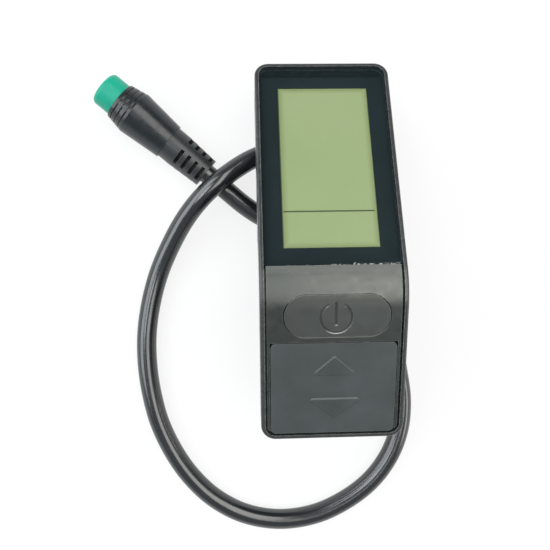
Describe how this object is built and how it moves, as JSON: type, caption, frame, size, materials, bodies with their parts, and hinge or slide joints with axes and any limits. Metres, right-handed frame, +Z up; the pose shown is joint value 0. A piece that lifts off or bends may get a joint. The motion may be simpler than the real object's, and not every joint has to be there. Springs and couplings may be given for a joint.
{
  "type": "electric bicycle handlebar display",
  "caption": "Bent handlebar display with an LCD screen, a power key, a rocker key, a split bar clamp and a looped cable with a round plug.",
  "frame": {"origin": "on the table, midway across the display's width and length, cable and plug left out", "axes": "+X across the display along the handlebar, +Y towards the top of the screen, +Z up from the table"},
  "size_m": [0.0761, 0.1119, 0.0351],
  "materials": {
    "housing_black": "satin",
    "frame_black": "satin",
    "lens_clear": "polished",
    "film_black": "gloss",
    "lcd_green": "matt",
    "cover_black": "satin",
    "key_grey": "matt",
    "rubber_grey": "matt",
    "rubber_black": "matt",
    "steel": "brushed",
    "brass": "turned",
    "board_green": "satin",
    "flex_amber": "satin",
    "light_guide": "frosted",
    "white_plastic": "satin",
    "strip_pink": "matt",
    "chip_black": "matt",
    "aluminium": "satin",
    "cable_black": "gloss",
    "nose_green": "satin",
    "wire_red": "gloss"
  },
  "bodies": {
    "housing": {"front_frame": "frame_black", "rear_shell": "housing_black", "lens": "lens_clear", "lens_film": "film_black", "keypad_cover": "cover_black", "rocker_pin": "steel", "keypad_seal": "rubber_grey", "lcd_cell": "lcd_green", "light_guide": "light_guide", "lcd_holder": "white_plastic", "contact_strip": "strip_pink", "main_board": "board_green", "key_board": "board_green", "board_link": "flex_amber", "power_switch": "chip_black", "up_switch": "chip_black", "down_switch": "chip_black", "controller_chip": "chip_black", "voltage_regulator": "chip_black", "capacitor": "aluminium", "crystal": "steel", "wire_header": "white_plastic", "inner_wires": "wire_red", "backlight_leds": "white_plastic", "case_gasket": "rubber_grey", "case_screws": "steel", "clamp_cap": "housing_black", "clamp_liner": "rubber_black", "clamp_screws": "steel", "clamp_inserts": "brass", "cable_gland": "rubber_black", "cable": "cable_black", "plug_body": "rubber_black", "plug_boot": "rubber_black", "plug_nose": "nose_green", "plug_contacts": "brass"},
    "power_key": {"power_button": "cover_black", "power_plunger": "white_plastic"},
    "rocker": {"rocker_button": "key_grey"},
    "up_contact": {"up_plunger": "white_plastic"},
    "down_contact": {"down_plunger": "white_plastic"}
  },
  "joints": [
    {"name": "power_press", "type": "slide", "parent": "housing", "child": "power_key", "axis": [0, 0.2298, -0.9732], "range_m": [0, 0.0003], "stiffness_N_per_m": 5000},
    {"name": "rocker_tilt", "type": "hinge", "parent": "housing", "child": "rocker", "pos_m": [0, -0.02903, 0.02737], "axis": [1, 0, 0], "range_deg": [-1.8, 1.8], "stiffness_Nm_per_rad": 0.6},
    {"name": "up_plunger_slide", "type": "slide", "parent": "housing", "child": "up_contact", "axis": [0, 0.2298, -0.9732], "range_m": [-0.0002, 0.0002]},
    {"name": "down_plunger_slide", "type": "slide", "parent": "housing", "child": "down_contact", "axis": [0, 0.2298, -0.9732], "range_m": [-0.0002, 0.0002]}
  ],
  "couplings": [
    {"joint": "up_plunger_slide", "follows": "rocker_tilt", "m_per_rad": -0.0062},
    {"joint": "down_plunger_slide", "follows": "rocker_tilt", "m_per_rad": 0.0062}
  ]
}
